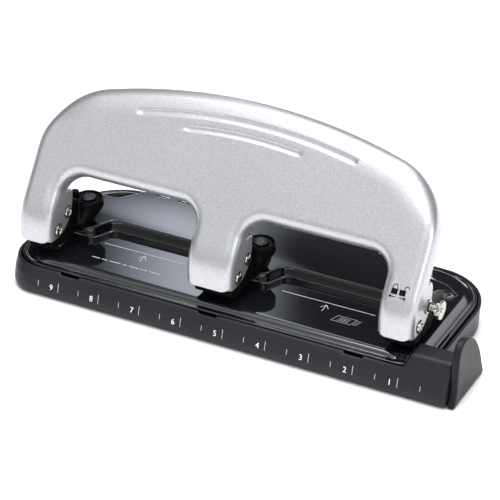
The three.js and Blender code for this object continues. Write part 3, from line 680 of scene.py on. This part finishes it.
def build_rivets():
    """Fulcrum and drive pins of the three legs, with black rings of painted shadow round their heads."""
    for name, (x, half, _) in HEADS.items():
        left, right = x - half - 0.05, x + half + 0.05
        domed = name == "middle"
        turned(f"pivot_rivet_{name}", rivet_profile(left, right, 2.5, 3.3, domed), (0, *FULCRUM),
               NICKEL, "handle", [f"pivot_pin_{name}"], axis="x")
        profile = rivet_profile(left, right, 2.0, 3.1, domed)
        if name == "right":
            profile = profile[:profile.index((2.0, right))] + [(2.0, x + 5.4), (0.01, x + 5.4)]
        turned(f"drive_rivet_{name}", profile, (0, *DRIVE), NICKEL, "handle",
               [f"drive_pin_{name}"], axis="x")
        # black rings of painted shadow round each rivet head, for the shade where the head meets the paint
        for end, side in ((left, "left"), (right, "right")):
            rivet_seat(f"pivot_shadow_ring_{name}_{side}", end, *FULCRUM, 3.75)
            if (name, side) != ("right", "right"):
                rivet_seat(f"drive_shadow_ring_{name}_{side}", end, *DRIVE, 3.55)


def build_lock():
    """Push lock: a grooved shaft with a knurled neck and a flanged button, in a bush."""
    x = HOLE_PITCH + END_LEG
    turned("lock_bushing", [(2.95, x - 1.7), (3.4, x - 1.7), (3.4, x + 0.1), (3.9, x + 0.15), (4.0, x + 0.35),
                            (4.0, x + 0.7), (3.7, x + 0.9), (2.95, x + 0.9)],
           (0, *DRIVE), NICKEL, "handle", ["lock_bush"], axis="x")
    profile = [(0.01, x - 1), (1.5, x - 1), (1.8, x - 0.6), (1.8, x + 1.2), (2.6, x + 1.5), (2.6, x + 2.3),
               (2.4, x + 2.5), (2.4, x + 2.9), (2.6, x + 3.1), (2.6, x + 4.4), (3.15, x + 4.7),
               (3.15, x + 5.9), (2.5, x + 6.2), (2.5, x + 6.6), (4.6, x + 6.7), (5.15, x + 6.95),
               (5.2, x + 7.6), (4.9, x + 8.05), (4.2, x + 8.2), (3.9, x + 8.0), (1.4, x + 7.95),
               (1.2, x + 8.2), (0.01, x + 8.2)]
    segments = 96
    vertices, faces = lathe(profile, (0, *DRIVE), "x", segments)
    knurl = slice(segments * 10, segments * 12)
    spokes = vertices[knurl] - np.array([0, *DRIVE])
    teeth = 1 + 0.06 * np.cos(np.arctan2(spokes[:, 2], spokes[:, 1]) * 24)
    vertices[knurl, 1:] = np.array(DRIVE) + spokes[:, 1:] * teeth[:, None]
    piece("lock_knob", vertices, faces, NICKEL, "lock", ["lock_pin"], sharp=35)


def build_punches():
    """Punch, spring, washer, die and stop disc of each head."""
    for name, (x, _, post) in HEADS.items():
        centre = (x, PUNCH_Y, 0)
        turned(f"punch_{name}_rod",
               [(0.01, 23.4), (2.4, 22.9), (3.5, 22.4), (3.5, 37.6), (5.0, 37.6), (5.2, 37.8), (5.2, 38.6)],
               centre, STEEL, f"punch_{name}", [f"punch_pin_{name}"])
        build_yoke(name, x)
        turned(f"washer_{name}",
               [(3.8, 36.5), (5.3, 36.5), (5.4, 36.7), (5.4, 37.1), (5.3, 37.3), (3.8, 37.3)],
               centre, NICKEL, f"punch_{name}", [f"spring_washer_{name}"])
        turned(f"die_ring_{name}",
               [(3.8, 16.8), (6, 16.8), (6, 18.9), (5.9, 19.03), (4.3, 19.03), (3.9, 18.8)],
               centre, STEEL, "base", [f"die_{name}"])
        build_spring(name, x)
        if post:
            turned(f"stop_disc_{name}", [(0.01, 38.5), (4.2, 38.5), (4.3, 38.7), (4.3, 39.3), (4.0, 39.6),
                                         (2.6, 39.75), (2.4, 39.6), (0.01, 39.6)],
                   (x + 10.4, 49.5, 0), DARK_STEEL, "base", [f"stop_button_{name}"])


def build_yoke(name, x):
    """Slotted head on the punch, which the drive pin pushes down and pulls up."""
    xs, ys, zs = (ticks((x - 6, x + 6, 0.3)), ticks((PUNCH_Y - 6, PUNCH_Y + 6, 0.3)), ticks((37, 48, 0.3)))
    gx, gy, gz = np.meshgrid(xs, ys, zs, indexing="ij")
    drum = round_meet(np.hypot(gx - x, gy - PUNCH_Y) - 5.2, np.maximum(38.65 - gz, gz - 47.2), 0.7)
    slot = round_meet(np.abs(gy - 27.95) - 3.15, np.abs(gz - DRIVE[1]) - 2.3, 0.8)
    vertices, quads = surface_net(round_cut(drum, slot, 0.3), (xs, ys, zs))
    piece(f"punch_{name}_head", vertices, quads, STEEL, f"punch_{name}")


def build_spring(name, x):
    """Coil spring round the punch."""
    turns, radius, wire = 4.5, 4.5, 0.38
    bottom, top = 24.8 + wire, 36.3 - wire
    count = 150
    angles = np.linspace(0, turns * 2 * math.pi, count)
    rise = np.interp(np.linspace(0, 1, count), [0, 0.14, 0.86, 1], [0, 0.03, 0.97, 1])
    heights = bottom + (top - bottom) * rise
    centres = np.stack([radius * np.cos(angles), radius * np.sin(angles), heights], axis=1)
    outward = np.stack([np.cos(angles), np.sin(angles), np.zeros(count)], axis=1)
    sides = 10
    rings = []
    for t in np.linspace(0, 2 * math.pi, sides, endpoint=False):
        rings.append(centres + wire * (math.cos(t) * outward + math.sin(t) * np.array([0, 0, 1])))
    vertices = np.stack(rings, axis=1).reshape(-1, 3) + np.array([x, PUNCH_Y, 0])
    faces = []
    for i in range(count - 1):
        for j in range(sides):
            k = (j + 1) % sides
            faces.append((i * sides + j, i * sides + k, (i + 1) * sides + k, (i + 1) * sides + j))
    faces.append(tuple(range(sides))[::-1])
    faces.append(tuple(range((count - 1) * sides, count * sides)))
    coil = piece(f"coil_{name}", vertices, faces, WIRE, "base", [f"return_spring_{name}"])
    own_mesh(coil)


# ------------------------------------------------------------ punch heads
def casting_side():
    """Side view of a punch head: nose round the fulcrum, throat, and foot on the deck."""
    points = [(39.7, 22), (39.7, 25.3), (60, 25.3), (60, 28), (55, 30), (52, 36.5), (42, 40.5), (35.5, 45.5),
              (24, 46.8), (18.8, 39.6)]
    points += arc(*FULCRUM, 5.2, 1.2, 3.5)
    return points + [(14.6, 22)]


def drive_slot():
    """The arc that the drive pin sweeps, as a closed outline."""
    reach = math.hypot(DRIVE[0] - FULCRUM[0], DRIVE[1] - FULCRUM[1])
    high = math.atan2(DRIVE[1] - FULCRUM[1], DRIVE[0] - FULCRUM[0])
    return arc(*FULCRUM, reach, high, high - math.radians(40), 16)


def build_head(name, x, half, post):
    """One cast head, with a cup on a stem where it has a stop post."""
    wall = half - SHEET - 0.6
    right = 20 if post else wall + 1
    xs = ticks((-wall - 1, right, 0.45))
    ys = ticks((10, 61, 0.45))
    zs = ticks((21, 48, 0.45))
    sy, sz = np.meshgrid(ys, zs, indexing="ij")
    gx, gy, gz = np.meshgrid(xs, ys, zs, indexing="ij")
    side = outline_distance(casting_side(), sy, sz)[None]
    body = round_meet(side, np.abs(gx) - wall, 0.9)
    well = np.maximum(np.abs(gx) - 5.9, np.maximum(gy - 35.5, 24.6 - gz))
    body = round_cut(body, well, 0.5)
    body = round_cut(body, np.hypot(gx, gy - PUNCH_Y) - 3.75, 0.3)
    body = round_cut(body, (np.hypot(sy - FULCRUM[0], sz - FULCRUM[1]) - 2.75)[None] + 0 * gx, 0.3)
    body = round_cut(body, (path_distance(drive_slot(), sy, sz) - 2.5)[None] + 0 * gx, 0.3)
    relief = np.maximum(np.abs(gx) - wall + 3.2, round_meet(39 - gy, 30.5 - gz, 1))
    body = round_cut(body, relief, 1.2)
    if post:
        body = round_join(body, stop_post(gx, gy, gz), 1.6)
        body = round_cut(body, np.maximum(np.hypot(gx - 10.4, gy - 49.5) - 6.6, 38.3 - gz), 0.5)
        stud = round_meet(np.hypot(gx - 3.4, gy - 46.5) - 2.3, np.maximum(gz - 43.2, 30 - gz), 0.7)
        body = round_join(body, stud, 0.6)
    vertices, quads = surface_net(body, (xs, ys, zs))
    vertices[:, 0] += x
    piece(f"head_casting_{name}", vertices, quads, CAST, "base", [f"punch_head_{name}"])


def stop_post(x, y, z):
    """A cup on a slanted stem beside the handle's leg."""
    rise = np.clip((z - 25.3) / (34 - 25.3), 0, 1)
    middle_x = 7.6 + 2.8 * rise
    middle_y = 45.5 + 4.0 * rise
    radius = 6.7 + 1.5 * rise
    stem = (np.hypot(x - middle_x, y - middle_y) - radius) * 0.9
    return round_meet(stem, np.maximum(z - 39.5, 25.3 - z), 0.8)


# ------------------------------------------------------------ base plate
def deck_outline():
    """Front edge of the raised deck: it comes forward at each head as a paper stop."""
    tip = [(-4, 56), (-2, 64), (1.5, 70.5), (8.3, 78.5), (6.6, 80.5), (-8, 93)]
    left_tip = [(-HOLE_PITCH - a, b) for a, b in tip]
    right_tip = [(HOLE_PITCH + a, b) for a, b in tip]
    return [(-HOLE_PITCH - 1, 40), (-HOLE_PITCH + 17, 40), (-HOLE_PITCH + 23.5, 53.5),
            (-23.5, 53.5), (-17, 40), (17, 40), (23.5, 53.5),
            (HOLE_PITCH - 23.5, 53.5), (HOLE_PITCH - 17, 40), (HOLE_PITCH + 1, 40),
            *right_tip, (85, 104), (-85, 104), *left_tip[::-1]]


def plate_height(x, y, axes):
    """Height of the pressed plate's top surface."""
    rim = -rounded_plan(x, y, *PLATE_PLAN)
    panel = rounded_plan(x, y, 11.6, 12.8, 96, 13, 23)
    share = np.clip(rim, 0, None) / (np.clip(rim, 0, None) + np.clip(panel, 0, None) + 1e-6)
    flank = step_up((np.abs(x - 2) - 98) / 14)
    foot = 0.5 - 0.23 * flank
    turn = 1 - np.clip((share - foot) / (1 - foot), 0, 1)
    rise = (1 - flank) * np.sqrt(1 - turn ** 2) + flank * (1 - turn ** 1.5)
    lip = RIM_TOP + (PANEL_TOP - RIM_TOP) * rise + (0.25 + 0.45 * flank) * np.exp(-((share - 0.13) / 0.1) ** 2)
    deck = soften(outline_distance(deck_outline(), x, y), axes, 1.6)
    deck_top = DECK_TOP - 5 * np.clip((y - 58) / 41, 0, None) ** 1.6 - 3 * step_up((np.abs(x) - 104) / 13)
    deck_top = np.minimum(deck_top, 17.3 + 2.6 * np.clip(101 - y, 0, None))
    lip = np.minimum(soften(lip, axes, 0.5), deck_top)
    run = 1.8 + 15 * step_up((y - 75) / 10) * step_up((np.abs(x) - 86) / 14)
    return lip + (deck_top - lip) * step_up((0.4 - deck) / run)


def build_plate():
    """The pressed sheet, with its holes, hinge ears and barrels."""
    xs = ticks((-124, -100, 0.45), (-100, -92, 0.8), (-92, -83, 0.4), (-83, -25, 1.0), (-25, -15.4, 0.4),
               (-15.4, 15.4, 0.8), (15.4, 25, 0.4), (25, 83, 1.0), (83, 92, 0.4), (92, 100, 0.8),
               (100, 128, 0.45))
    ys = ticks((4.4, 36, 0.55), (36, 58, 0.35), (58, 97, 0.7), (97, 102.4, 0.3))
    zs = ticks((12.8, 26.2, 0.45))
    px, py = np.meshgrid(xs, ys, indexing="ij")
    height = plate_height(px, py, (xs, ys))
    slope_x, slope_y = np.gradient(height, xs, ys)
    lean = 1 / np.sqrt(1 + slope_x ** 2 + slope_y ** 2)
    gap = (zs[None, None, :] - height[:, :, None]) * lean[:, :, None]
    sheet = np.abs(gap + SHEET / 2) - SHEET / 2
    plan = rounded_plan(px, py, *PLATE_PLAN)
    for x, _, _ in HEADS.values():
        plan = np.maximum(plan, 6.25 - np.hypot(px - x, py - PUNCH_Y))
    notch = np.maximum(114.9 - px, py - 19.2)
    plan = np.maximum(plan, -notch)
    for side in (-1, 1):
        for shift in (-7, 7):
            ear = np.maximum(np.abs(px - side * HINGE_X - shift) - 3, 96.5 - py)
            plan = np.maximum(plan, -ear)
    sheet = round_meet(sheet, plan[:, :, None], 0.4)
    vertices, quads = surface_net(sheet, (xs, ys, zs))
    mean = neighbour_mean(quads, len(vertices))
    # the top face is brought onto the exact height field, and evened out three times on the way
    for step in range(10):
        if step in (2, 4, 6):
            vertices[near] += 0.6 * (mean(vertices) - vertices)[near]
        x, y, z = vertices.T
        normal = np.stack([-sample(slope_x, (xs, ys), x, y), -sample(slope_y, (xs, ys), x, y),
                           np.ones(len(x))], axis=1)
        normal /= np.linalg.norm(normal, axis=1, keepdims=True)
        off = (z - sample(height, (xs, ys), x, y)) * normal[:, 2]
        near = (np.abs(off) < 0.5) & (sample(plan, (xs, ys), x, y) < -0.5)
        vertices[near] -= off[near, None] * normal[near]
    piece("pressed_plate", vertices, quads, GLOSS, "base", ["base_plate"], sharp=50)
    for side, word in ((-1, "left"), (1, "right")):
        x = side * HINGE_X
        turned(f"hinge_barrel_{word}",
               [(1.5, x - 4), (2.1, x - 4), (2.2, x - 3.8), (2.2, x + 3.8), (2.1, x + 4), (1.5, x + 4)],
               (0, HINGE_Y, HINGE_Z), GLOSS, "base", [], axis="x", segments=24)


def flat_print(parts, z):
    """Flat parts as one print at a height."""
    points, faces = gather(parts)
    return np.stack([points[:, 0], points[:, 1], np.full(len(points), z)], axis=1), faces


def build_plate_prints():
    """Guide lines and arrows printed on the front panel, and a few plain signs."""
    z = PANEL_TOP + 0.05
    lines = [strip(-81.5, 38.9, -31.5, 38.9, 0.45), strip(28.5, 38.8, 83.8, 38.8, 0.45)]
    for x in (-54.8, 56.4):
        lines.append(strip(x, 30.2, x, 36.6, 0.32))
        lines += [strip(x + side * 2.4, 33.2, x, 36.6, 0.32) for side in (-1, 1)]
    points, faces = flat_print(lines, z)
    piece("guide_lines", points, faces, WHITE_INK, "base")
    dashes = []
    cursor = -80.8
    for length in (5, 3.4, 7.2, 2.6, 5.8, 4.4, 6.2):
        dashes.append(strip(cursor, 23.3, cursor + length, 23.3, 0.8))
        cursor += length + 1.3
    sheet = [(64.5, 24.4), (75.5, 24.4), (77.5, 30), (66.5, 30), (64.5, 24.4)]
    dashes += [strip(*a, *b, 0.26) for a, b in zip(sheet[:-1], sheet[1:])]
    dashes += [strip(76.9 + 1.3 * k, 24.6, 78.8 + 1.3 * k, 29.8, 0.24) for k in range(2)]
    dashes += [strip(67.4 + 0.4 * k, 25.8 + 1.3 * k, 73.6 + 0.4 * k, 25.8 + 1.3 * k, 0.3) for k in range(3)]
    points, faces = flat_print(dashes, z)
    piece("small_signs", points, faces, GREY_INK, "base")


# ------------------------------------------------------------ chip tray and paper stop
def build_tray():
    """Moulded tray with its end block, snap notches, posts and hinge ears."""
    xs = ticks((-126.5, 142, 0.8))
    ys = ticks((-2, 105.6, 0.75))
    zs = ticks((0, 24.8, 0.55))
    gx, gy, gz = np.meshgrid(xs, ys, zs, indexing="ij")
    front = np.interp(gz, FRONT_Z, FRONT_Y)
    inset = np.interp(gz, FRONT_Z, [1.2, 0.9, 0.9, 0.6, 0])
    corner = np.interp(gz, [TRAY_BOTTOM, TRAY_TOP], [16, 20])
    outside = rounded_plan(gx, gy, inset, front, TRAY_BACK, corner, TRAY_REAR_RADIUS)
    height = np.maximum(TRAY_BOTTOM - gz, gz - TRAY_TOP)
    body = round_meet(outside, height, 0.7)
    floor = TRAY_BOTTOM + TRAY_WALL
    body = round_cut(body, np.maximum(outside + TRAY_WALL, floor - gz), 0.5)
    sy, sz = np.meshgrid(ys, zs, indexing="ij")
    section = list(zip(FRONT_Y, FRONT_Z)) + [(5.2, 19.2), (7.2, 22.9), (9, BLOCK_TOP),
                                             (BLOCK_BACK, BLOCK_TOP), (BLOCK_BACK, TRAY_BOTTOM)]
    profile = outline_distance(section, sy, sz)[None]
    left_end = BLOCK_LEFT - 2 + np.clip(gz - TRAY_TOP, 0, 9) * 0.45 - gx
    end_block = round_meet(profile, np.maximum(left_end, gx - BLOCK_RIGHT), 0.7)
    body = round_join(body, end_block, 0.5)
    squared = np.maximum(np.maximum(profile, gy - 5.2), np.maximum(107 - gx, gx - BLOCK_LEFT))
    body = np.minimum(body, np.maximum(squared, gz - TRAY_TOP))
    hollow = np.maximum(np.abs(gy - ARM_Y) - 4.8, np.abs(gz - ARM_Z) - 5.5)
    socket = round_meet(hollow, BLOCK_LEFT + 1.5 - gx, 0.3)
    body = round_cut(body, socket, 0.3)
    for x in (-84, 1.5, 87):
        snap = np.maximum(np.abs(gx - x) - 5.5, np.maximum(np.abs(gy - 4.6) - 2, 15.2 - gz))
        body = np.maximum(body, -snap)
    for x in (-112, -54, 54, 100):
        for y, share in ((12, 1), (92, 0.85)):
            post = round_meet(np.hypot(gx - x * share, gy - y) - 3, np.maximum(gz - 15.4, 1.5 - gz), 0.4)
            body = round_join(body, post, 0.8)
    for side in (-1, 1):
        for shift in (-7, 7):
            ear = np.hypot(gy - HINGE_Y, gz - HINGE_Z) - 2.2
            web = np.maximum(np.maximum(HINGE_Y - gy, gy - 103.6), np.abs(gz - 14.4) - 1.6)
            ear = round_meet(round_join(ear, web, 0.3), np.abs(gx - side * HINGE_X - shift) - 2.5, 0.3)
            body = round_join(body, ear, 0.3)
    vertices, quads = surface_net(body, (xs, ys, zs))
    piece("tray_moulding", vertices, quads, TRAY, "tray", ["chip_tray"])


def build_ruler():
    """Inch scale on the tray front: numbered full marks and shorter half marks."""
    def on_front(points):
        y = np.interp(points[:, 1], FRONT_Z, FRONT_Y) - 0.06
        return np.stack([points[:, 0], y, points[:, 1]], axis=1)

    zero = 5.5 * INCH
    marks = []
    for half_inch in range(1, 20):
        x = zero - INCH / 2 * half_inch
        length = 3.0 if half_inch % 2 else 5.2
        top = 10.6 if half_inch % 2 else 11.6
        marks.append(strip(x, top - length, x, top, 0.32))
    points, faces = gather(marks)
    piece("ruler_marks", on_front(points), faces, GREY_INK, "tray")
    for inch in range(1, 10):
        data = bpy.data.curves.new(f"numeral_{inch}", "FONT")
        data.body = str(inch)
        data.size = 4.4
        data.align_x = "CENTER"
        data.offset = 0.02
        data.resolution_u = 4
        text = bpy.data.objects.new(f"text_{inch}", data)
        bpy.context.scene.collection.objects.link(text)
        bpy.context.view_layer.update()
        flat = bpy.data.meshes.new_from_object(text.evaluated_get(bpy.context.evaluated_depsgraph_get()))
        points = np.array([tuple(v.co) for v in flat.vertices])[:, :2]
        points += np.array([zero - INCH * inch - 4.4, 6.9])
        faces = [tuple(p.vertices) for p in flat.polygons]
        bpy.data.objects.remove(text)
        bpy.data.meshes.remove(flat)
        piece(f"ruler_numeral_{inch}", on_front(points), faces, WHITE_INK, "tray")


def build_stop():
    """The paper stop: a D-shaped end plate on an arm."""
    profile = [(1.2, TRAY_BOTTOM), (4.3, 8.9)]
    profile += curve((5.2, 24), (5.4, 33), (9.5, 36.2), (14, 36))
    profile += curve((14, 36), (24, 35), (33.5, 25), (38, 10.5), 16)
    profile += [(38, 10.5), (41.8, TRAY_BOTTOM)]
    xs = ticks((120, 146, 0.4))
    ys = ticks((0, 43, 0.5))
    zs = ticks((0, 37, 0.5))
    sy, sz = np.meshgrid(ys, zs, indexing="ij")
    gx, gy, gz = np.meshgrid(xs, ys, zs, indexing="ij")
    side = outline_distance(profile, sy, sz)[None]
    outer_face = gx - STOP_RIGHT + 0.02 * np.maximum(-side - 1, 0)
    plate = round_meet(side, np.maximum(STOP_LEFT - gx, outer_face), 1.0)
    arm = np.maximum(np.abs(gy - ARM_Y) - 4.4, np.abs(gz - ARM_Z) - 5.1)
    arm = np.maximum(arm, np.maximum(121 - gx, gx - 142))
    vertices, quads = surface_net(round_join(plate, round_meet(arm, arm, 0.3), 0.4), (xs, ys, zs))
    piece("end_stop", vertices, quads, STOP, "stop", ["paper_stop"])


def build_small_parts():
    """Feet, hinge pins and the screws of the heads."""
    for name in ("front_left", "front_right", "rear_left", "rear_right"):
        low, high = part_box(f"rubber_foot_{name}")
        x, y = ((low + high) / 2 * 1000)[:2] - ORIGIN[:2]
        turned(f"foot_{name}", [(0.01, 0.25), (3.0, 0.25), (3.3, 0), (5.2, 0), (5.8, 0.4), (6, 0.9), (6, 1.5),
                                (0.01, 1.5)],
               (x, y, 0), RUBBER, "tray", [f"rubber_foot_{name}"])
    for side, word in ((-1, "left"), (1, "right")):
        x = side * HINGE_X
        turned(f"hinge_pin_{word}",
               [(0.01, x - 9.3), (1.0, x - 9.3), (1.2, x - 9.1), (1.2, x + 9.1), (1.0, x + 9.3),
                (0.01, x + 9.3)],
               (0, HINGE_Y, HINGE_Z), WIRE, "tray", [f"tray_hinge_pin_{word}"],
               axis="x", segments=24)
    for name in HEADS:
        for index in (1, 2):
            node = f"head_screw_{name}_{index}"
            low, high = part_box(node)
            x, y = ((low + high) / 2 * 1000)[:2] - ORIGIN[:2]
            bottom = low.z * 1000
            turned(f"screw_{name}_{index}",
                   [(0.01, bottom + 1.1), (1.2, bottom + 1.0), (1.4, bottom), (2.7, bottom),
                    (3.2, bottom + 0.3), (3.5, bottom + 0.9), (3.5, bottom + 2.2), (1.7, bottom + 2.2),
                    (1.7, high.z * 1000)],
                   (x, y, 0), NICKEL, "base", [node], segments=32)


studio()
build_handle()
build_lock_signs()
build_rivets()
build_lock()
build_punches()
for head_name, (head_x, leg_half, has_post) in HEADS.items():
    build_head(head_name, head_x, leg_half, has_post)
build_plate()
build_plate_prints()
build_tray()
build_ruler()
build_stop()
build_small_parts()

bpy.context.view_layer.update()
